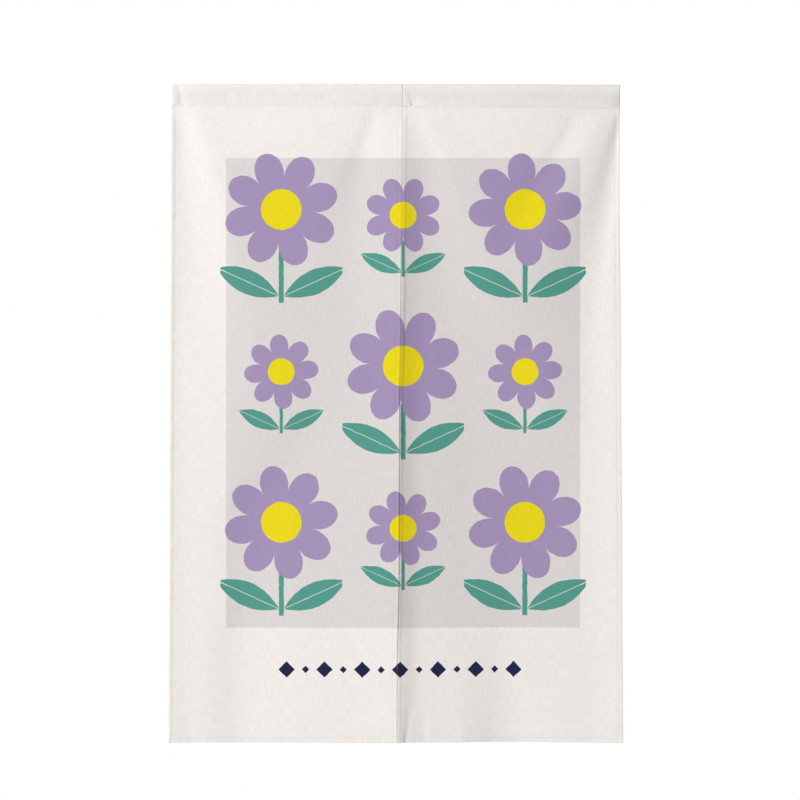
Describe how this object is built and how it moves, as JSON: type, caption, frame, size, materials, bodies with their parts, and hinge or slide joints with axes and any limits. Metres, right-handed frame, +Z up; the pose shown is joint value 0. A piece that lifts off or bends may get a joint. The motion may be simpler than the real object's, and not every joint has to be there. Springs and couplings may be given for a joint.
{
  "type": "split door curtain",
  "caption": "Light cloth door curtain in two panels side by side, sewn together at the top and split below, each with an open rod pocket along its top edge.",
  "frame": {"origin": "middle of the rod pockets' top edge", "axes": "+Z up along the drop of the cloth, +X to the right along the rod, the front of the cloth faces -Y"},
  "size_m": [0.8276, 0.0199, 1.2],
  "materials": {
    "panel_cloth": "plain woven cotton and linen, matte, printed on the front",
    "heading_cloth": "plain woven cotton and linen, matte, doubled"
  },
  "bodies": {
    "root": {"panel_left": "panel_cloth", "panel_right": "panel_cloth", "heading_left": "heading_cloth", "heading_right": "heading_cloth"}
  },
  "joints": []
}
